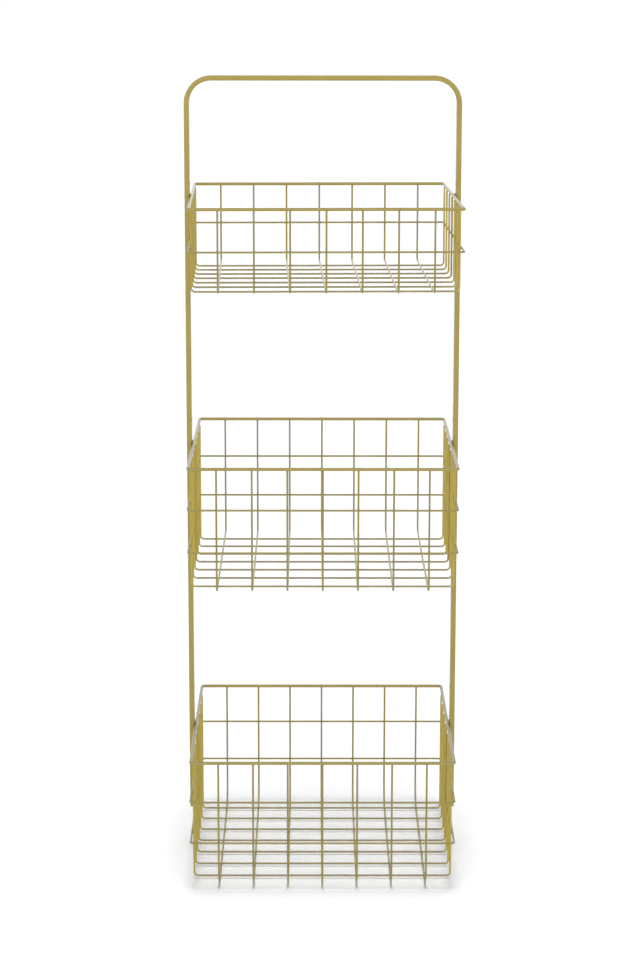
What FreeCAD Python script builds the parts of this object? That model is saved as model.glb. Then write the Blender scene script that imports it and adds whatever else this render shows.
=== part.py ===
import FreeCAD, Part
import math
import os
import Sketcher
from FreeCAD import Vector

# Three-tier storage caddy in gold powder-coated steel. A bent flat tube is the carrying hoop. It plugs
# onto two pairs of flat-tube uprights, which stand outside the baskets at half depth. Each of the three
# wire baskets has a rim, one or two rings and a mesh of U-bent wires, and the bottom basket's lowest
# wires are what the caddy stands on. X runs across the width, Y from front to back, Z up from the floor.

# Driving sizes, in millimetres except for the one angle
SIZES = {
    # wire baskets, measured over the rim
    "basket_width": 330,
    "basket_depth": 341,
    "corner_radius": 6,
    # from a basket's outside to the centre of its first wire, at the sides and at the front and back
    "side_margin": 36,
    "end_margin": 41.5,
    # rods
    "rim_wire": 4,
    "ring_wire": 2.4,
    "mesh_wire": 2.4,
    # the mesh wires' bends at the foot of the walls: tight at the sides, wide at the front and back
    "side_bend": 4.5,
    "end_bend": 30,
    "weld_gap": 0.1,
    # each basket's lowest wires above the floor
    "top_base": 741.5,
    "middle_base": 376,
    "bottom_base": 0,
    # each basket's rim centre above its lowest wires
    "top_rise": 106.4,
    "middle_rise": 158.9,
    "bottom_rise": 164.6,
    # ring centres below the rim centre
    "first_drop": 50.65,
    "second_drop": 103.7,
    # the top basket is welded in slightly turned about the vertical, in degrees
    "top_turn": 1.3,
    # flat tube of the hoop and the uprights
    "tube_thick": 6.3,
    "tube_deep": 20,
    "tube_edge": 1.3,
    "tube_wall": 1.2,
    "hoop_top": 996.5,
    "hoop_corner": 34,
    # how far a section's legs reach below its basket, and the last pair below their ring
    "leg_tail": 8.5,
    "foot_tail": 7,
    # plug joint between two sections
    "plug_length": 25,
    "plug_seat": 10,
    "plug_fit": 0.15,
    # set screw that locks a plug in its tube
    "screw_size": 4,
    "screw_rise": 12,
    "screw_bite": 1.6,
    "screw_fit": 0.1,
    "hex_size": 2,
    "hex_deep": 1.5,
}

WIRES_ACROSS = 7
WIRES_ALONG = 7

doc = FreeCAD.newDocument("storage_caddy")
sheet = doc.addObject("Spreadsheet::Sheet", "sizes")
for row, (alias, value) in enumerate(SIZES.items(), start=1):
    sheet.set(f"A{row}", alias)
    sheet.set(f"B{row}", str(value))
    sheet.setAlias(f"B{row}", alias)
doc.recompute()

# Formulas that several pieces share

# half widths and half depths of the centre lines of the rims, the rings and the mesh wires' legs
RIM_X = "(sizes.basket_width / 2 - sizes.rim_wire / 2)"
RIM_Y = "(sizes.basket_depth / 2 - sizes.rim_wire / 2)"
RING_X = "(sizes.basket_width / 2 - sizes.ring_wire / 2)"
RING_Y = "(sizes.basket_depth / 2 - sizes.ring_wire / 2)"
LEG_X = "(sizes.basket_width / 2 - sizes.ring_wire - sizes.weld_gap - sizes.mesh_wire / 2)"
LEG_Y = "(sizes.basket_depth / 2 - sizes.ring_wire - sizes.weld_gap - sizes.mesh_wire / 2)"

# the first wires stand a margin in from each side and end, and the others share the rest evenly
PITCH_ACROSS = f"((sizes.basket_width - 2 * sizes.side_margin) / {WIRES_ACROSS - 1})"
PITCH_ALONG = f"((sizes.basket_depth - 2 * sizes.end_margin) / {WIRES_ALONG - 1})"

# the wires along the depth lie lowest, and the wires across the width lie on them
ALONG_Z = "(sizes.mesh_wire / 2)"
ACROSS_Z = "(sizes.mesh_wire * 3 / 2 + sizes.weld_gap)"

# only the top basket is turned
TURN = "(sizes.top_turn * 1 deg)"
STRAIGHT = "0 deg"

# the tubes' inner faces clear the turned top basket's side rods over the tube's whole depth
TUBE_X = (
    f"(sizes.basket_width / 2 / cos({TURN}) + sizes.tube_deep / 2 * tan({TURN})"
    " + sizes.weld_gap + sizes.tube_thick / 2)"
)

# where each pair of legs ends above the floor
HOOP_END = "(sizes.top_base - sizes.leg_tail)"
MIDDLE_END = "(sizes.middle_base - sizes.leg_tail)"
FOOT_END = "(sizes.bottom_base + sizes.bottom_rise - sizes.second_drop - sizes.foot_tail)"


def new_body(label):
    """A piece with its own name."""
    body = doc.addObject("PartDesign::Body", label)
    body.Label = label
    return body


def new_sketch(body, name, role, offset):
    """A sketch on one of the piece's own planes, moved by formulas along the plane's axes."""
    sketch = body.newObject("Sketcher::SketchObject", f"{body.Name}_{name}")
    plane = next(item for item in body.Origin.OriginFeatures if item.Role == role)
    sketch.AttachmentSupport = [(plane, "")]
    sketch.MapMode = "FlatFace"
    for axis, formula in offset.items():
        sketch.setExpression(f"AttachmentOffset.Base.{axis}", formula)
    return sketch


def line(start, end):
    return Part.LineSegment(Vector(*start, 0), Vector(*end, 0))


def bend(centre, radius, quarter):
    """A quarter turn, counterclockwise from the start of the given quarter."""
    circle = Part.Circle(Vector(*centre, 0), Vector(0, 0, 1), radius)
    return Part.ArcOfCircle(circle, quarter * math.pi / 2, (quarter + 1) * math.pi / 2)


def relate(sketch, kind, *where):
    sketch.addConstraint(Sketcher.Constraint(kind, *where))


def bind(sketch, kind, *where, to, drawn):
    """A dimension, entered as drawn and then tied to its formula."""
    index = sketch.addConstraint(Sketcher.Constraint(kind, *where, drawn))
    sketch.setExpression(f"Constraints[{index}]", to)


def draw_loop(sketch, half_x, half_y, radius, drawn):
    """A rounded rectangle about the sketch's origin."""
    x, y, r = drawn
    items = [
        line((r - x, -y), (x - r, -y)),
        bend((x - r, r - y), r, 3),
        line((x, r - y), (x, y - r)),
        bend((x - r, y - r), r, 0),
        line((x - r, y), (r - x, y)),
        bend((r - x, y - r), r, 1),
        line((-x, y - r), (-x, r - y)),
        bend((r - x, r - y), r, 2),
    ]
    sketch.addGeometry(items, False)
    for index in range(8):
        relate(sketch, "Tangent", index, 2, (index + 1) % 8, 1)
    for side in (0, 4):
        relate(sketch, "Horizontal", side)
        relate(sketch, "Vertical", side + 2)
    for corner in (3, 5, 7):
        relate(sketch, "Equal", 1, corner)
    relate(sketch, "Symmetric", 0, 1, 4, 1, -1, 1)
    bind(sketch, "Radius", 1, to=radius, drawn=r)
    bind(sketch, "DistanceX", 6, 1, 2, 1, to=f"2 * {half_x}", drawn=2 * x)
    bind(sketch, "DistanceY", 0, 1, 4, 1, to=f"2 * {half_y}", drawn=2 * y)


def draw_box(sketch, wide, high, drawn):
    """A plain rectangle about the sketch's origin, drawn after whatever the sketch holds."""
    x, y = drawn[0] / 2, drawn[1] / 2
    corners = [(-x, -y), (x, -y), (x, y), (-x, y)]
    first = sketch.GeometryCount
    sketch.addGeometry([line(corners[side], corners[(side + 1) % 4]) for side in range(4)], False)
    for side in range(4):
        relate(sketch, "Coincident", first + side, 2, first + (side + 1) % 4, 1)
    for side in (first, first + 2):
        relate(sketch, "Horizontal", side)
        relate(sketch, "Vertical", side + 1)
    relate(sketch, "Symmetric", first, 1, first + 2, 1, -1, 1)
    bind(sketch, "DistanceX", first, 1, first, 2, to=wide, drawn=2 * x)
    bind(sketch, "DistanceY", first + 1, 1, first + 1, 2, to=high, drawn=2 * y)


def draw_circle(sketch, diameter, drawn):
    """A circle on the sketch's origin."""
    sketch.addGeometry(Part.Circle(Vector(), Vector(0, 0, 1), drawn / 2), False)
    relate(sketch, "Coincident", 0, 3, -1, 1)
    bind(sketch, "Diameter", 0, to=diameter, drawn=drawn)


def draw_bow(sketch, half, end, flat, radius, drawn):
    """Two legs and the flat run between them, below the legs' ends as in a U or above as in a hoop."""
    x, z_end, z_flat, r = drawn
    up = math.copysign(r, z_end - z_flat)
    quarters = (2, 3) if up > 0 else (1, 0)
    near, far = (1, 2) if up > 0 else (2, 1)
    items = [
        line((-x, z_end), (-x, z_flat + up)),
        bend((r - x, z_flat + up), r, quarters[0]),
        line((r - x, z_flat), (x - r, z_flat)),
        bend((x - r, z_flat + up), r, quarters[1]),
        line((x, z_flat + up), (x, z_end)),
    ]
    sketch.addGeometry(items, False)
    relate(sketch, "Tangent", 0, 2, 1, near)
    relate(sketch, "Tangent", 1, far, 2, 1)
    relate(sketch, "Tangent", 2, 2, 3, 1 if up > 0 else 2)
    relate(sketch, "Tangent", 3, 2 if up > 0 else 1, 4, 1)
    relate(sketch, "Vertical", 0)
    relate(sketch, "Vertical", 4)
    relate(sketch, "Horizontal", 2)
    relate(sketch, "Equal", 1, 3)
    relate(sketch, "Symmetric", 0, 1, 4, 2, -2)
    bind(sketch, "Radius", 1, to=radius, drawn=r)
    bind(sketch, "DistanceX", 0, 1, 4, 2, to=f"2 * {half}", drawn=2 * x)
    bind(sketch, "DistanceY", -1, 1, 0, 1, to=end, drawn=z_end)
    bind(sketch, "DistanceY", -1, 1, 2, 1, to=flat, drawn=z_flat)


def sweep(body, profile, path):
    pipe = body.newObject("PartDesign::AdditivePipe", f"{body.Name}_sweep")
    pipe.Profile = profile
    pipe.Spine = (path, [])
    return pipe


def seat(body, height, turn, across=None, along=None):
    """Puts a piece at its height and turn, and if asked off the centre of its turned basket."""
    body.Placement.Rotation.Axis = Vector(0, 0, 1)
    if across:
        body.setExpression("Placement.Base.x", f"{across} * cos({turn})")
        body.setExpression("Placement.Base.y", f"{across} * sin({turn})")
    if along:
        body.setExpression("Placement.Base.x", f"-{along} * sin({turn})")
        body.setExpression("Placement.Base.y", f"{along} * cos({turn})")
    body.setExpression("Placement.Base.z", height)
    body.setExpression("Placement.Rotation.Angle", turn)


def closed_rod(label, half_x, half_y, wire, height, turn):
    """A rim or a ring: a rod bent to a rounded rectangle and butt-welded."""
    body = new_body(label)
    path = new_sketch(body, "path", "XY_Plane", {})
    radius = f"(sizes.corner_radius - {wire} / 2)"
    drawn = (SIZES["basket_width"] / 2, SIZES["basket_depth"] / 2, SIZES["corner_radius"])
    draw_loop(path, half_x, half_y, radius, drawn)
    start = {"x": f"-{half_y}", "z": f"{radius} - {half_x}"}
    section = new_sketch(body, "section", "YZ_Plane", start)
    draw_circle(section, wire, SIZES["rim_wire"])
    sweep(body, section, path)
    seat(body, height, turn)
    return body


def mesh_wire(label, role, half, flat, top, base, turn, radius, across=None, along=None):
    """A U-bent wire of the mesh: from under the rim down a wall, along the bottom and up again."""
    body = new_body(label)
    path = new_sketch(body, "path", role, {})
    drawn = (SIZES["basket_width"] / 2, SIZES["top_rise"], SIZES["mesh_wire"], SIZES[radius])
    draw_bow(path, half, top, flat, f"sizes.{radius}", drawn)
    side = "x" if role == "XZ_Plane" else "y"
    section = new_sketch(body, "section", "XY_Plane", {side: f"-{half}", "z": top})
    draw_circle(section, "sizes.mesh_wire", SIZES["mesh_wire"])
    sweep(body, section, path)
    seat(body, base, turn, across, along)
    return body


def basket(name, base, rise, drops, turn):
    """Rim, rings below it, and the two crossing sets of U-bent wires."""
    found = [closed_rod(f"{name}_rim", RIM_X, RIM_Y, "sizes.rim_wire", f"{base} + {rise}", turn)]
    for number, drop in enumerate(drops, start=1):
        height = f"{base} + {rise} - {drop}"
        found.append(closed_rod(f"{name}_ring_{number}", RING_X, RING_Y, "sizes.ring_wire", height, turn))
    top = f"({rise} - sizes.rim_wire / 2 - sizes.weld_gap)"
    for number in range(WIRES_ACROSS):
        place = f"({number - (WIRES_ACROSS - 1) / 2} * {PITCH_ACROSS})"
        label = f"{name}_long_wire_{number + 1}"
        found.append(mesh_wire(label, "YZ_Plane", LEG_Y, ALONG_Z, top, base, turn, "end_bend", across=place))
    for number in range(WIRES_ALONG):
        place = f"({number - (WIRES_ALONG - 1) / 2} * {PITCH_ALONG})"
        label = f"{name}_cross_wire_{number + 1}"
        found.append(mesh_wire(label, "XZ_Plane", LEG_X, ACROSS_Z, top, base, turn, "side_bend", along=place))
    return found


# Frame: hoop, middle uprights, lower uprights

# bore of the flat tube, and the plug that slides into it
BORE_THICK = "(sizes.tube_thick - 2 * sizes.tube_wall)"
BORE_DEEP = "(sizes.tube_deep - 2 * sizes.tube_wall)"
PLUG_THICK = f"({BORE_THICK} - 2 * sizes.plug_fit)"
PLUG_DEEP = f"({BORE_DEEP} - 2 * sizes.plug_fit)"
SCREW_HOLE = "(sizes.screw_size + 2 * sizes.screw_fit)"
TUBE_DRAWN = (SIZES["tube_thick"], SIZES["tube_deep"])


def tube_outline(sketch):
    half_x = "(sizes.tube_thick / 2)"
    half_y = "(sizes.tube_deep / 2)"
    drawn = (SIZES["tube_thick"] / 2, SIZES["tube_deep"] / 2, SIZES["tube_edge"])
    draw_loop(sketch, half_x, half_y, "sizes.tube_edge", drawn)


def extrude(body, kind, name, profile, length, reverse=False):
    feature = body.newObject(f"PartDesign::{kind}", f"{body.Name}_{name}")
    feature.Profile = profile
    feature.Reversed = reverse
    feature.setExpression("Length", length)
    return feature


def screw_hole(body, name, side, face, height, depth):
    """A hole for a set screw, drilled inward from the outer face of a tube or plug."""
    offset = {"y": height, "z": f"{side} * {face}"}
    sketch = new_sketch(body, name, "YZ_Plane", offset)
    draw_circle(sketch, SCREW_HOLE, SIZES["screw_size"])
    extrude(body, "Pocket", f"{name}_cut", sketch, depth, reverse=side < 0)


def hoop(label):
    """The handle and its two legs, one flat tube bent twice, open at both ends."""
    body = new_body(label)
    path = new_sketch(body, "path", "XZ_Plane", {})
    flat = "(sizes.hoop_top - sizes.tube_thick / 2)"
    radius = "(sizes.hoop_corner - sizes.tube_thick / 2)"
    drawn = (SIZES["basket_width"] / 2, SIZES["top_base"], SIZES["hoop_top"], SIZES["hoop_corner"])
    draw_bow(path, TUBE_X, HOOP_END, flat, radius, drawn)
    section = new_sketch(body, "section", "XY_Plane", {"x": f"-{TUBE_X}", "z": HOOP_END})
    tube_outline(section)
    draw_box(section, BORE_THICK, BORE_DEEP, TUBE_DRAWN)
    sweep(body, section, path)
    for side, name in ((-1, "left"), (1, "right")):
        face = f"({TUBE_X} + sizes.tube_thick / 2)"
        height = f"{HOOP_END} + sizes.screw_rise"
        screw_hole(body, f"{name}_hole", side, face, height, "sizes.tube_thick / 2")
    return body


def upright(label, side, low, high, carries_below):
    """A straight flat tube, stepped to a plug at its upper end."""
    body = new_body(label)
    height = f"({high} - {low})"
    outline = new_sketch(body, "outline", "XY_Plane", {})
    tube_outline(outline)
    extrude(body, "Pad", "tube", outline, height)
    bore = new_sketch(body, "bore", "XY_Plane", {})
    draw_box(bore, BORE_THICK, BORE_DEEP, TUBE_DRAWN)
    extrude(body, "Pocket", "hollow", bore, f"{height} - sizes.plug_seat", reverse=True)
    plug = new_sketch(body, "plug", "XY_Plane", {"z": height})
    draw_box(plug, PLUG_THICK, PLUG_DEEP, TUBE_DRAWN)
    extrude(body, "Pad", "tongue", plug, "sizes.plug_length")
    plug_face = f"({PLUG_THICK} / 2)"
    screw_hole(body, "plug_hole", side, plug_face, f"{height} + sizes.screw_rise", "sizes.screw_bite")
    if carries_below:
        tube_face = "(sizes.tube_thick / 2)"
        screw_hole(body, "tube_hole", side, tube_face, "sizes.screw_rise", "sizes.tube_thick / 2")
    body.setExpression("Placement.Base.x", f"{side} * {TUBE_X}")
    body.setExpression("Placement.Base.z", low)
    return body


def section_screws(label):
    """The four set screws, flush in the tubes' outer faces."""
    face = f"({TUBE_X} + sizes.tube_thick / 2)"
    length = "(sizes.tube_wall + sizes.plug_fit + sizes.screw_bite - sizes.screw_fit)"
    screws = []
    for level, end in (("upper", HOOP_END), ("lower", MIDDLE_END)):
        for side, name in ((-1, "left"), (1, "right")):
            shank = doc.addObject("Part::Cylinder", f"{level}_{name}_shank")
            shank.setExpression("Radius", "sizes.screw_size / 2")
            shank.setExpression("Height", length)
            hexagon = doc.addObject("Part::Prism", f"{level}_{name}_hexagon")
            hexagon.Polygon = 6
            hexagon.setExpression("Circumradius", "sizes.hex_size / 2 / cos(30 deg)")
            hexagon.setExpression("Height", "2 * sizes.hex_deep")
            for item, depth in ((shank, length), (hexagon, "sizes.hex_deep")):
                item.Placement.Rotation = FreeCAD.Rotation(Vector(0, 1, 0), 90 * side)
                item.setExpression("Placement.Base.x", f"{side} * ({face} - {depth})")
                item.setExpression("Placement.Base.z", f"{end} + sizes.screw_rise")
            screw = doc.addObject("Part::Cut", f"{level}_{name}_screw")
            screw.Base = shank
            screw.Tool = hexagon
            screws.append(screw)
    group = doc.addObject("Part::Compound", label)
    group.Label = label
    group.Links = screws
    return group


pieces = [hoop("hoop_handle")]
for side, name in ((-1, "left"), (1, "right")):
    pieces.append(upright(f"middle_upright_{name}", side, MIDDLE_END, HOOP_END, carries_below=True))
    pieces.append(upright(f"lower_upright_{name}", side, FOOT_END, MIDDLE_END, carries_below=False))
pieces.append(section_screws("section_screws"))

first, second = "sizes.first_drop", "sizes.second_drop"
pieces += basket("top", "sizes.top_base", "sizes.top_rise", (first,), TURN)
pieces += basket("middle", "sizes.middle_base", "sizes.middle_rise", (first, second), STRAIGHT)
pieces += basket("bottom", "sizes.bottom_base", "sizes.bottom_rise", (first, second), STRAIGHT)

doc.recompute()

# Nothing is written unless every object came out sound
for item in doc.Objects:
    if "Invalid" in item.State or "Error" in item.State:
        raise SystemExit(f"{item.Name} failed: {item.State}")
for piece in pieces:
    if piece.Shape.isNull() or not piece.Shape.isValid():
        raise SystemExit(f"{piece.Label} has no sound shape")

os.makedirs("parts", exist_ok=True)
for piece in pieces:
    piece.Shape.exportStep(f"parts/{piece.Label}.step")
    print(f"{piece.Label}: {len(piece.Shape.Solids)} solid, {piece.Shape.Volume:.1f} mm3")
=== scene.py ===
import math

import bpy
from mathutils import Matrix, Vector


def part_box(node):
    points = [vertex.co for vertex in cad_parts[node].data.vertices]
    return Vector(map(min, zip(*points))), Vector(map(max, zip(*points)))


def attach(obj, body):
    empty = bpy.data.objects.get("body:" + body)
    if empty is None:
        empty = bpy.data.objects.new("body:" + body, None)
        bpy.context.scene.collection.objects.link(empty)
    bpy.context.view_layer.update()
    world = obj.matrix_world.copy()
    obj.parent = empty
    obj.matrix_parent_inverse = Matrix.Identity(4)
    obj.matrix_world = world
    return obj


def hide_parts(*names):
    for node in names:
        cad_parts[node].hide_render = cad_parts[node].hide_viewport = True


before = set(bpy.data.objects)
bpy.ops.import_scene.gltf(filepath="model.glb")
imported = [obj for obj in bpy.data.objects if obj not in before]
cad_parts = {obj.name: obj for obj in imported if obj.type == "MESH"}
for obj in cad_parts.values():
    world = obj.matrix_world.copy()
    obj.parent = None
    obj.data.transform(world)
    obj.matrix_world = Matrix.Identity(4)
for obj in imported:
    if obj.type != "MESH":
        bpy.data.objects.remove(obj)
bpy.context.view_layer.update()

# Camera: three metres in front of the caddy and a little above its handle, looking down twelve
# degrees through a long lens, which gives the flat perspective of a catalogue picture.
CAMERA_PLACE = (-0.0135, -3.1654, 1.1468)
LENS_MM = 95.21
LOOK_DOWN = math.radians(11.778)
LOOK_RIGHT = math.radians(0.19)
CAMERA_ROLL = math.radians(0.07)

aim = Matrix.Rotation(-LOOK_RIGHT, 4, "Z") @ Matrix.Rotation(math.pi / 2 - LOOK_DOWN, 4, "X")
aim = aim @ Matrix.Rotation(CAMERA_ROLL, 4, "Z")
bpy.ops.object.camera_add(location=CAMERA_PLACE, rotation=aim.to_euler())
camera = bpy.context.object
camera.data.lens = LENS_MM
bpy.context.scene.camera = camera

# Studio: a white floor that runs on into white air, soft lamps in a row and a broad ceiling lamp above,
# which leave no glint, and a broad lamp at each side of the camera. The floor keeps the object's shadow.
AIR_LIGHT = 0.04
AIR_SEEN = 1.0
AIR_WHITE = (1.0, 1.0, 1.0, 1.0)
OVERHEAD_LIGHT = 0.52
OVERHEAD_LEANS = (-5, 0, 5)
CEILING_LIGHT = 0.80
FRONT_LIGHT = 1.38
FRONT_TILT = 84
FRONT_SIDE = 32
FLOOR_SIZE = 60.0
FLOOR_BOUNCE = 0.88
FLOOR_SEEN = 1.18
COOL_WHITE = (0.99, 1.0, 1.02)


def add_node(tree, kind, values=None, **settings):
    """A shader node with its settings, and with a value or a link for each input that is named."""
    made = tree.nodes.new(f"ShaderNode{kind}")
    for name, value in settings.items():
        setattr(made, name, value)
    for name, value in (values or {}).items():
        if isinstance(value, bpy.types.NodeSocket):
            tree.links.new(value, made.inputs[name])
        else:
            made.inputs[name].default_value = value
    return made


def new_material(name):
    """A material, as (material, node tree, its main shader's inputs)."""
    material = bpy.data.materials.new(name)
    material.use_nodes = True
    tree = material.node_tree
    return material, tree, tree.nodes["Principled BSDF"].inputs


def white_floor():
    """Matt white paper, lit up to the white of the page where the camera sees it."""
    material, tree, shader = new_material("white_floor")
    shader["Roughness"].default_value = 1.0
    shader["Specular IOR Level"].default_value = 0.0
    seen = add_node(tree, "LightPath").outputs["Is Camera Ray"]
    levels = {"Value": seen, "To Min": FLOOR_BOUNCE, "To Max": FLOOR_SEEN}
    level = add_node(tree, "MapRange", levels)
    tint = {0: COOL_WHITE, "Scale": level.outputs["Result"]}
    paper = add_node(tree, "VectorMath", tint, operation="SCALE")
    tree.links.new(paper.outputs["Vector"], shader["Base Color"])
    return material


def white_air():
    """White to look at and in reflections, and nearly dark as a light."""
    world = bpy.data.worlds.new("white_air")
    world.use_nodes = True
    tree = world.node_tree
    rays = add_node(tree, "LightPath").outputs
    seen = add_node(tree, "Math", {0: rays["Is Camera Ray"], 1: rays["Is Glossy Ray"]}, operation="MAXIMUM")
    levels = {"Value": seen.outputs[0], "To Min": AIR_LIGHT, "To Max": AIR_SEEN}
    level = add_node(tree, "MapRange", levels)
    tree.links.new(level.outputs["Result"], tree.nodes["Background"].inputs["Strength"])
    tree.nodes["Background"].inputs["Color"].default_value = AIR_WHITE
    return world


def broad_lamp(name, strength, spread, tilt=0, side=0, glint=False):
    """A soft lamp far away, its spread, tilt and side in degrees, which shows as a glint or doesn't."""
    bpy.ops.object.light_add(type="SUN", rotation=(math.radians(tilt), 0, math.radians(side)))
    lamp = bpy.context.object
    lamp.name = name
    lamp.data.energy = strength
    lamp.data.angle = math.radians(spread)
    lamp.visible_glossy = glint


bpy.ops.mesh.primitive_plane_add(size=FLOOR_SIZE)
floor = bpy.context.object
floor.name = "studio_floor"
floor.data.materials.append(white_floor())
bpy.context.scene.world = white_air()
for number, lean in enumerate(OVERHEAD_LEANS, start=1):
    broad_lamp(f"overhead_lamp_{number}", OVERHEAD_LIGHT, spread=9, tilt=lean)
broad_lamp("ceiling_lamp", CEILING_LIGHT, spread=40)
for name, side in (("front_left_lamp", -FRONT_SIDE), ("front_right_lamp", FRONT_SIDE)):
    broad_lamp(name, FRONT_LIGHT, spread=50, tilt=FRONT_TILT, side=side, glint=True)
bpy.context.scene.view_settings.view_transform = "Standard"

# Hoop: one flat steel tube bent twice into legs and a carrying handle, powder-coated in satin gold.
# The coat is a sprayed film with metal flake: faintly pebbled, and rubbed paler on the arrises.
COAT_GOLD = (0.405, 0.316, 0.068, 1.0)
COAT_SHADE = (0.371, 0.288, 0.061, 1.0)
COAT_FILM = (COAT_GOLD, COAT_SHADE)
COAT_RUBBED = (0.560, 0.470, 0.220, 1.0)
COAT_ROUGHNESS = 0.42
# grey of a dusting on upward faces that is also painted shade there, and of the floor rub
DUST_AND_SHADE_GREY = (0.215, 0.200, 0.150, 1.0)
TUBE_HALF_DEPTH = 0.010
TUBE_EDGE = 0.0013
WORN_LINE = TUBE_EDGE * 0.35
WORN_BAND = TUBE_EDGE * 0.4
FLOOR_REACH = 0.154
FLOOR_FADE = 0.006


def new_group(name, takes, gives):
    """A shader node group with named sockets, as (tree, group input, group output)."""
    tree = bpy.data.node_groups.new(name, "ShaderNodeTree")
    for socket, kind, value in takes:
        made = tree.interface.new_socket(socket, in_out="INPUT", socket_type=f"NodeSocket{kind}")
        made.default_value = value
    for socket, kind in gives:
        tree.interface.new_socket(socket, in_out="OUTPUT", socket_type=f"NodeSocket{kind}")
    return tree, tree.nodes.new("NodeGroupInput"), tree.nodes.new("NodeGroupOutput")


def new_overlay(name):
    """A group that lays a tone over the coat: it takes a colour and an amount, and gives a colour."""
    takes = [("Color", "Color", COAT_GOLD), ("Amount", "Float", 1.0)]
    return new_group(name, takes, [("Color", "Color")])


def use_group(tree, group, values):
    """The outputs of a group, with a value or a link for each input that is named."""
    return add_node(tree, "Group", values, node_tree=group).outputs


def multiplied(tree, one, other):
    return add_node(tree, "Math", {0: one, 1: other}, operation="MULTIPLY").outputs[0]


def absolute(tree, number):
    """A number without its sign."""
    return add_node(tree, "Math", {0: number}, operation="ABSOLUTE").outputs[0]


def mix_over(tree, given, result, share, tone):
    """Mixes a tone over the colour that an overlay takes, by a share of its amount."""
    mask = multiplied(tree, share, given.outputs["Amount"])
    tones = {"Color1": given.outputs["Color"], "Color2": tone}
    mixed = add_node(tree, "MixRGB", {"Fac": mask, **tones})
    tree.links.new(mixed.outputs["Color"], result.inputs["Color"])


def sprayed_film():
    """Clouds of thicker and thinner film, flake that glints from grain to grain, and orange peel."""
    takes = [
        ("Thick Film", "Color", COAT_GOLD),
        ("Thin Film", "Color", COAT_SHADE),
        ("Cloud Size", "Float", 22.0),
        ("Peel Size", "Float", 900.0),
    ]
    gives = [("Color", "Color"), ("Roughness", "Float"), ("Height", "Float")]
    tree, given, result = new_group("sprayed_film", takes, gives)
    place = add_node(tree, "TexCoord").outputs["Object"]
    size = given.outputs["Cloud Size"]
    clouds = add_node(tree, "TexNoise", {"Vector": place, "Scale": size, "Detail": 3.0})
    share = add_node(tree, "MapRange", {"Value": clouds.outputs["Fac"], "From Min": 0.3, "From Max": 0.58})
    tones = {"Color1": given.outputs["Thin Film"], "Color2": given.outputs["Thick Film"]}
    film = add_node(tree, "MixRGB", {"Fac": share.outputs["Result"], **tones})
    flake = add_node(tree, "TexVoronoi", {"Vector": place, "Scale": 2600.0})
    glint = add_node(tree, "SeparateColor", {"Color": flake.outputs["Color"]})
    bright = add_node(tree, "MapRange", {"Value": glint.outputs["Red"], "To Min": 0.96, "To Max": 1.05})
    tint = {0: film.outputs["Color"], "Scale": bright.outputs["Result"]}
    speckled = add_node(tree, "VectorMath", tint, operation="SCALE")
    tree.links.new(speckled.outputs["Vector"], result.inputs["Color"])
    size = given.outputs["Peel Size"]
    peel = add_node(tree, "TexNoise", {"Vector": place, "Scale": size, "Detail": 2.0})
    tree.links.new(peel.outputs["Fac"], result.inputs["Height"])
    blotch = add_node(tree, "TexNoise", {"Vector": place, "Scale": 70.0, "Detail": 4.0})
    swing = add_node(tree, "MapRange", {"Value": blotch.outputs["Fac"], "To Min": -0.10, "To Max": 0.10})
    parts = {0: COAT_ROUGHNESS, 1: swing.outputs["Result"]}
    gloss = add_node(tree, "Math", parts, operation="ADD")
    tree.links.new(gloss.outputs[0], result.inputs["Roughness"])
    return tree


def dust_and_painted_shade():
    """A thin grey dusting in patches on whatever faces up, darker than a dusting alone: painted shade on
    the upper faces.
    """
    tree, given, result = new_overlay("dust_and_painted_shade")
    place = add_node(tree, "TexCoord").outputs["Object"]
    facing = add_node(tree, "SeparateXYZ", {0: add_node(tree, "NewGeometry").outputs["Normal"]})
    up = add_node(tree, "MapRange", {"Value": facing.outputs["Z"], "From Min": 0.2, "From Max": 0.8})
    drift = add_node(tree, "TexNoise", {"Vector": place, "Scale": 160.0, "Detail": 5.0})
    patch = add_node(tree, "MapRange", {"Value": drift.outputs["Fac"], "From Min": 0.22, "From Max": 0.52})
    dusting_and_shade_mask = multiplied(tree, up.outputs["Result"], patch.outputs["Result"])
    mix_over(tree, given, result, dusting_and_shade_mask, DUST_AND_SHADE_GREY)
    return tree


def rubbed_arris():
    """Paler film along the four rounded long edges of a flat tube, broken up as by handling."""
    tree, given, result = new_overlay("rubbed_arris")
    place = add_node(tree, "TexCoord").outputs["Object"]
    split = add_node(tree, "SeparateXYZ", {0: place})
    depths = {0: TUBE_HALF_DEPTH, 1: absolute(tree, split.outputs["Y"])}
    inset = add_node(tree, "Math", depths, operation="SUBTRACT")
    off = add_node(tree, "Math", {0: inset.outputs[0], 1: WORN_LINE}, operation="SUBTRACT")
    levels = {"From Min": 0.0, "From Max": WORN_BAND, "To Min": 1.0, "To Max": 0.0}
    near = add_node(tree, "MapRange", {"Value": absolute(tree, off.outputs[0]), **levels})
    grain = add_node(tree, "TexNoise", {"Vector": place, "Scale": 120.0, "Detail": 6.0, "Roughness": 0.7})
    broken = add_node(tree, "MapRange", {"Value": grain.outputs["Fac"], "From Min": 0.48, "From Max": 0.66})
    worn = multiplied(tree, near.outputs["Result"], broken.outputs["Result"])
    mix_over(tree, given, result, worn, COAT_RUBBED)
    return tree


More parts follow.
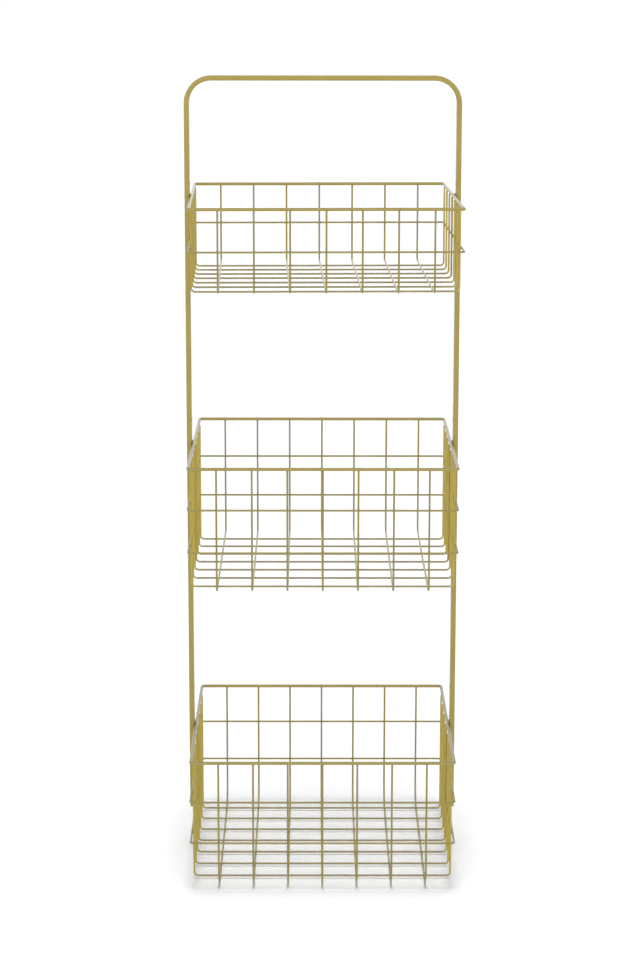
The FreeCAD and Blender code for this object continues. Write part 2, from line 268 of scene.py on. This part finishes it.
def floor_rub():
    """A dull grey rub on a wire's floor run, where goods slide, and none on its legs, which keep the cross
    wires' lighter, painted-light gold.
    """
    tree, given, result = new_overlay("floor_rub")
    place = add_node(tree, "TexCoord").outputs["Object"]
    split = add_node(tree, "SeparateXYZ", {0: place})
    reaches = {0: absolute(tree, split.outputs["X"]), 1: absolute(tree, split.outputs["Y"])}
    out = add_node(tree, "Math", reaches, operation="MAXIMUM")
    levels = {"From Min": FLOOR_REACH, "From Max": FLOOR_REACH + FLOOR_FADE, "To Min": 1.0, "To Max": 0.0}
    inside = add_node(tree, "MapRange", {"Value": out.outputs[0], **levels})
    grain = add_node(tree, "TexNoise", {"Vector": place, "Scale": 90.0, "Detail": 4.0})
    broken = add_node(tree, "MapRange", {"Value": grain.outputs["Fac"], "From Min": 0.2, "From Max": 0.45})
    worn = multiplied(tree, inside.outputs["Result"], broken.outputs["Result"])
    mix_over(tree, given, result, worn, DUST_AND_SHADE_GREY)
    return tree


FILM = sprayed_film()
DUST_AND_SHADE = dust_and_painted_shade()
ARRIS = rubbed_arris()
RUB = floor_rub()


def gold_coat(name, cloud, peel, dust_and_shade, gloss=0.9, arris=0.0, rub=0.0, film=COAT_FILM):
    """The satin gold powder coat, for one kind of piece, a little darker where the film is thinner."""
    material, tree, shader = new_material(name)
    sizes = {"Cloud Size": cloud, "Peel Size": peel}
    coat = use_group(tree, FILM, {"Thick Film": film[0], "Thin Film": film[1], **sizes})
    colour = coat["Color"]
    if arris:
        colour = use_group(tree, ARRIS, {"Color": colour, "Amount": arris})["Color"]
    if rub:
        colour = use_group(tree, RUB, {"Color": colour, "Amount": rub})["Color"]
    # a dusting on upward faces, and painted shade that darkens them
    colour = use_group(tree, DUST_AND_SHADE, {"Color": colour, "Amount": dust_and_shade})["Color"]
    tree.links.new(colour, shader["Base Color"])
    tree.links.new(coat["Roughness"], shader["Roughness"])
    bump = add_node(tree, "Bump", {"Height": coat["Height"], "Strength": 0.35, "Distance": 0.00008})
    tree.links.new(bump.outputs["Normal"], shader["Normal"])
    shader["Metallic"].default_value = 0.15
    shader["Specular IOR Level"].default_value = 0.25
    shader["Coat Weight"].default_value = gloss
    shader["Coat Roughness"].default_value = 0.12
    shader["Coat IOR"].default_value = 1.35
    return material


def dress(names, material):
    """Gives pieces that keep the shape of the frame their finish."""
    for name in names:
        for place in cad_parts[name].material_slots:
            place.material = material


dress(["hoop_handle"], gold_coat("hoop_coat", cloud=14.0, peel=800.0, dust_and_shade=0.3, arris=0.5))

# Uprights: two straight flat tubes a side, each with a plug at its top that slides into the tube
# above. They are the hoop's tube and have its coat, a little less rubbed.
UPRIGHTS = [f"{level}_upright_{side}" for level in ("middle", "lower") for side in ("left", "right")]
dress(UPRIGHTS, gold_coat("upright_coat", cloud=18.0, peel=800.0, dust_and_shade=0.1, arris=0.4))

# Set screws: four plated grub screws with hexagon sockets, one in each plug joint, driven in flush
# with the tube's outer face after coating, so their own bright metal shows.
SCREW_METAL = (0.56, 0.50, 0.36, 1.0)
SCREW_WORN = (0.30, 0.26, 0.18, 1.0)


def plated_screw():
    """Plating that is worn and duller in patches."""
    material, tree, shader = new_material("plated_screw")
    place = add_node(tree, "TexCoord").outputs["Object"]
    stain = add_node(tree, "TexNoise", {"Vector": place, "Scale": 1400.0, "Detail": 4.0})
    share = add_node(tree, "MapRange", {"Value": stain.outputs["Fac"], "From Min": 0.4, "From Max": 0.65})
    tones = {"Color1": SCREW_METAL, "Color2": SCREW_WORN}
    mixed = add_node(tree, "MixRGB", {"Fac": share.outputs["Result"], **tones})
    tree.links.new(mixed.outputs["Color"], shader["Base Color"])
    matt = add_node(tree, "MapRange", {"Value": stain.outputs["Fac"], "To Min": 0.22, "To Max": 0.5})
    tree.links.new(matt.outputs["Result"], shader["Roughness"])
    shader["Metallic"].default_value = 1.0
    return material


dress(["section_screws"], plated_screw())

# Rims: each basket's stiff top rod, bent to a rounded rectangle and butt-welded where its ends meet,
# at the middle of the back. Weld beads above and below the rod hold each rim to the two uprights.
TIER_TURNS = {"top": math.radians(1.3), "middle": 0.0, "bottom": 0.0}
RIMS = [f"{tier}_rim" for tier in TIER_TURNS]
SWELL_SHARES = (0.90, 1.02, 1.07, 1.12, 1.07, 1.02, 0.90)
BEAD_SHARES = (0.30, 0.72, 0.98, 1.02, 0.90, 1.04, 0.92, 1.03, 0.90, 1.05, 0.94, 0.99, 0.74, 0.32)
BEAD_OUT_SHARE = 0.72
BEAD_UP_SHARE = 0.86
RIM_SWELL_SIDES = 24
RIM_SWELL_LENGTH = 0.0046
RIM_SWELL_RADIUS = 0.002
RIM_BEAD_SIDES = 12
RIM_BEAD_LENGTH = 0.015
RIM_BEAD_RADIUS = 0.0014
SMOOTH_UP_TO = math.radians(50)


def drawn_out(name, sides, radius, length, shares):
    """A closed round bar about the origin along Z, each of its rings a share of the radius."""
    step = length / (len(shares) - 1)
    bpy.ops.object.select_all(action="DESELECT")
    start = (0, 0, -length / 2)
    bpy.ops.mesh.primitive_circle_add(
        vertices=sides, radius=radius * shares[0], fill_type="NGON", location=start
    )
    piece = bpy.context.object
    piece.name = name
    bpy.ops.object.transform_apply(location=True, rotation=False, scale=False)
    bpy.ops.object.mode_set(mode="EDIT")
    bpy.ops.mesh.select_all(action="SELECT")
    for ring in range(1, len(shares)):
        bpy.ops.mesh.extrude_region_move(TRANSFORM_OT_translate={"value": (0, 0, step)})
        wider = shares[ring] / shares[ring - 1]
        centre = (0, 0, ring * step - length / 2)
        bpy.ops.transform.resize(value=(wider, wider, 1), center_override=centre)
    bpy.ops.mesh.select_all(action="SELECT")
    bpy.ops.mesh.normals_make_consistent(inside=False)
    bpy.ops.object.mode_set(mode="OBJECT")
    bpy.ops.object.shade_smooth_by_angle(angle=SMOOTH_UP_TO)
    return piece


def set_down(pattern, name, places):
    """Copies of a pattern at the given places, joined to one piece of the frame. The pattern goes."""
    copies = []
    for place in places:
        copy = pattern.copy()
        copy.data = pattern.data.copy()
        copy.data.transform(place)
        bpy.context.collection.objects.link(copy)
        copies.append(copy)
    bpy.data.objects.remove(pattern)
    bpy.ops.object.select_all(action="DESELECT")
    for copy in copies:
        copy.select_set(True)
    bpy.context.view_layer.objects.active = copies[0]
    bpy.ops.object.join()
    piece = bpy.context.object
    piece.name = name
    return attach(piece, "root")


def spot(x, y, z, turn=0.0):
    """A place in a basket, which may be turned about the caddy's axis."""
    return Matrix.Rotation(turn, 4, "Z") @ Matrix.Translation((x, y, z))


def lying_along(axis):
    """Turns a bar that stands along Z to lie along X or Y."""
    return Matrix.Rotation(math.pi / 2, 4, "Y" if axis == "X" else "X")


def rod_facts(name, turn):
    """Half width and half depth of a rod's centre line, its height and its radius."""
    low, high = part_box(name)
    radius = (high.z - low.z) / 2
    swing = math.sin(abs(turn))
    across, along = (high.x - low.x) / 2 - radius, (high.y - low.y) / 2 - radius
    # the box of a turned rectangle, undone
    straight = math.cos(turn) ** 2 - swing**2
    half_x = (across * math.cos(turn) - along * swing) / straight
    half_y = (along * math.cos(turn) - across * swing) / straight
    return half_x, half_y, (low.z + high.z) / 2, radius


def rod_welds(names):
    """Places of the rods' butt welds, at the back, and of the beads that hold them to the uprights."""
    seams, beads = [], []
    for name in names:
        turn = TIER_TURNS[name.split("_")[0]]
        half_x, half_y, height, radius = rod_facts(name, turn)
        seams.append(spot(0, half_y, height, turn) @ lying_along("X"))
        for side in (-1, 1):
            for level in (-1, 1):
                x = side * (half_x + radius * BEAD_OUT_SHARE)
                beads.append(spot(x, 0, height + level * radius * BEAD_UP_SHARE, turn) @ lying_along("Y"))
    return seams, beads


# the rims' tops take the heaviest dusting, most of it painted shade
rim_coat = gold_coat("rim_coat", cloud=30.0, peel=1100.0, dust_and_shade=0.8)
dress(RIMS, rim_coat)

seams, beads = rod_welds(RIMS)
swell = drawn_out("seam", RIM_SWELL_SIDES, RIM_SWELL_RADIUS, RIM_SWELL_LENGTH, SWELL_SHARES)
rim_seams = set_down(swell, "rim_butt_welds", seams)
bead = drawn_out("bead", RIM_BEAD_SIDES, RIM_BEAD_RADIUS, RIM_BEAD_LENGTH, BEAD_SHARES)
rim_beads = set_down(bead, "rim_to_upright_welds", beads)
for piece in (rim_seams, rim_beads):
    piece.data.materials.append(rim_coat)

# Rings: thinner rods of the same outline round the outside of the mesh wires, one on the top basket
# and two on each of the others, butt-welded at the back like the rims and welded to the uprights.
RINGS = [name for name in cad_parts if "_ring_" in name]
WIRE_FILM = ((0.350, 0.284, 0.062, 1.0), (0.318, 0.258, 0.056, 1.0))
RING_SWELL_SIDES = 16
RING_SWELL_LENGTH = RIM_SWELL_LENGTH * 0.8
RING_SWELL_RADIUS = 0.0012
SMALL_WELD_SIDES = 10
RING_BEAD_LENGTH = 0.012
RING_BEAD_RADIUS = 0.0009

ring_coat = gold_coat("ring_coat", cloud=30.0, peel=1300.0, dust_and_shade=0.6, gloss=0.6, film=WIRE_FILM)
dress(RINGS, ring_coat)

seams, beads = rod_welds(RINGS)
swell = drawn_out("seam", RING_SWELL_SIDES, RING_SWELL_RADIUS, RING_SWELL_LENGTH, SWELL_SHARES)
ring_seams = set_down(swell, "ring_butt_welds", seams)
bead = drawn_out("bead", SMALL_WELD_SIDES, RING_BEAD_RADIUS, RING_BEAD_LENGTH, BEAD_SHARES)
ring_beads = set_down(bead, "ring_to_upright_welds", beads)
for piece in (ring_seams, ring_beads):
    piece.data.materials.append(ring_coat)

# Mesh: thin U-bent wires, seven each way in every basket. They are resistance-welded where they
# cross, and their legs to the rings and under the rim, which leaves a small nugget at every weld.
# The photograph shows the upper baskets' long wires over the cross wires, so there they are bent anew.
MESH = [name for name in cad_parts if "_wire_" in name]
LAID_OVER = ("top", "middle")
LONG_BEND = 0.0095
WELD_GAP = 0.0001
# The cross wires' coat is a lighter gold than the long wires' same coat: painted light on their legs, which
# stand edge-on at the baskets' sides.
CROSS_FILM_PAINTED_LIGHTER = ((0.530, 0.413, 0.076, 1.0), (0.488, 0.379, 0.070, 1.0))
NUGGET_SHARES = (0.62, 0.96, 1.12, 0.96, 0.62)
NUGGET_RADIUS = 0.00105
NUGGET_LENGTH = 0.0017
TACK_SHARES = (0.45, 0.95, 1.08, 1.0, 0.5)
TACK_RADIUS = 0.00125
TACK_LENGTH = 0.0026
TACK_OUT_SHARE = 0.35
TACK_DOWN_SHARE = 0.95

mesh_coat = gold_coat("mesh_coat", cloud=34.0, peel=1500.0, dust_and_shade=0.2, film=WIRE_FILM)
# the cross wires get the lighter painted-light gold, dulled by the rub on their floor runs
cross_look_painted_lighter = {"gloss": 0.4, "rub": 0.6, "film": CROSS_FILM_PAINTED_LIGHTER}
cross_coat_painted_lighter = gold_coat("cross_wire_coat_painted_lighter", cloud=34.0, peel=1500.0, dust_and_shade=0.8, **cross_look_painted_lighter)
dress([name for name in MESH if "_long_" in name], mesh_coat)
dress([name for name in MESH if "_cross_" in name], cross_coat_painted_lighter)


def bent_wire(name, reach, top, floor_run, radius):
    """A round wire bent to a U along Y, from a rectangle that loses its top edge."""
    bpy.ops.object.select_all(action="DESELECT")
    middle = (0, 0, (top + floor_run) / 2)
    bpy.ops.mesh.primitive_plane_add(size=1, location=middle, rotation=(0, math.pi / 2, 0))
    wire = bpy.context.object
    wire.name = name
    bpy.ops.transform.resize(value=(1, 2 * reach, top - floor_run))
    bpy.ops.object.transform_apply(location=True, rotation=True, scale=True)
    bpy.ops.object.mode_set(mode="EDIT")
    bpy.ops.mesh.delete(type="ONLY_FACE")
    bpy.ops.mesh.select_all(action="DESELECT")
    bpy.ops.object.mode_set(mode="OBJECT")
    for edge in wire.data.edges:
        edge.select = all(wire.data.vertices[end].co.z > middle[2] for end in edge.vertices)
    bpy.ops.object.mode_set(mode="EDIT")
    bpy.ops.mesh.select_mode(type="EDGE")
    bpy.ops.mesh.delete(type="EDGE")
    bpy.ops.mesh.select_mode(type="VERT")
    bpy.ops.object.mode_set(mode="OBJECT")
    for vertex in wire.data.vertices:
        vertex.select = vertex.co.z < middle[2]
    bpy.ops.object.mode_set(mode="EDIT")
    bpy.ops.mesh.bevel(offset_type="ABSOLUTE", offset=LONG_BEND, segments=8, affect="VERTICES")
    bpy.ops.object.mode_set(mode="OBJECT")
    bpy.ops.object.convert(target="CURVE")
    wire = bpy.context.object
    wire.data.bevel_depth = radius
    wire.data.bevel_resolution = 4
    wire.data.use_fill_caps = True
    bpy.ops.object.convert(target="MESH")
    bpy.ops.object.shade_smooth_by_angle(angle=SMOOTH_UP_TO)
    return bpy.context.object


def wire_facts(name, turn):
    """A mesh wire's middle before the turn, its half span between leg centres, its radius and its foot."""
    low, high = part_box(name)
    span = "y" if "_long_" in name else "x"
    across = "x" if span == "y" else "y"
    centre = Matrix.Rotation(-turn, 4, "Z") @ ((low + high) / 2)
    reach = (getattr(high, span) - getattr(low, span)) / 2
    width = (getattr(high, across) - getattr(low, across)) / 2
    # half the wire's thickness, from the width of its box once the turn is taken out
    radius = (width - math.tan(abs(turn)) * reach) / (1 - math.tan(abs(turn)))
    return centre, (reach - radius) / math.cos(turn), radius, low.z


def lay_long_wires(tier, turn, long_wires, cross_wires):
    """Bends a basket's long wires anew, over its cross wires, and gives how far their welds rise."""
    _, _, cross_radius, cross_foot = wire_facts(cross_wires[0], turn)
    _, reach, radius, _ = wire_facts(long_wires[0], turn)
    rise = 2 * cross_radius
    floor_run = cross_foot + rise + WELD_GAP + radius
    pattern = bent_wire("long_wire", reach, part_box(long_wires[0])[1].z, floor_run, radius)
    places = [spot(wire_facts(name, turn)[0].x, 0, 0, turn) for name in long_wires]
    laid = set_down(pattern, f"{tier}_laid_long_wires", places)
    laid.data.materials.append(mesh_coat)
    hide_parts(*long_wires)
    return rise


def crossing_welds(turn, long_wires, cross_wires, rise):
    """Places of the nuggets where the floor runs of a basket's wires cross."""
    places = []
    for name in cross_wires:
        cross_centre, _, _, foot = wire_facts(name, turn)
        for other in long_wires:
            long_centre = wire_facts(other, turn)[0]
            places.append(spot(long_centre.x, cross_centre.y, foot + rise, turn))
    return places


def leg_welds(tier, turn, wires):
    """Places of the nuggets where legs meet the rings, and of the tacks under the rim."""
    _, _, rim_height, rim_radius = rod_facts(f"{tier}_rim", turn)
    ring_heights = [rod_facts(name, turn)[2] for name in RINGS if name.startswith(tier)]
    nuggets, tacks = [], []
    for name in wires:
        centre, reach, radius, _ = wire_facts(name, turn)
        lengthwise = "_long_" in name
        for side in (-1, 1):
            touch = side * (reach + radius)
            x, y = (centre.x, touch) if lengthwise else (touch, centre.y)
            for height in ring_heights:
                nuggets.append(spot(x, y, height, turn) @ lying_along("Y" if lengthwise else "X"))
            touch = side * (reach + radius * TACK_OUT_SHARE)
            x, y = (centre.x, touch) if lengthwise else (touch, centre.y)
            tacks.append(spot(x, y, rim_height - rim_radius * TACK_DOWN_SHARE, turn))
    return nuggets, tacks


for tier, turn in TIER_TURNS.items():
    long_wires = [name for name in MESH if name.startswith(f"{tier}_long")]
    cross_wires = [name for name in MESH if name.startswith(f"{tier}_cross")]
    rise = 0.0
    if tier in LAID_OVER:
        rise = lay_long_wires(tier, turn, long_wires, cross_wires)
    crossings = crossing_welds(turn, long_wires, cross_wires, rise)
    nuggets, tacks = leg_welds(tier, turn, long_wires + cross_wires)
    nugget = drawn_out("nugget", SMALL_WELD_SIDES, NUGGET_RADIUS, NUGGET_LENGTH, NUGGET_SHARES)
    welds = set_down(nugget, f"{tier}_mesh_welds", crossings + nuggets)
    tack = drawn_out("tack", SMALL_WELD_SIDES, TACK_RADIUS, TACK_LENGTH, TACK_SHARES)
    ends = set_down(tack, f"{tier}_rim_tacks", tacks)
    for piece in (welds, ends):
        piece.data.materials.append(mesh_coat)
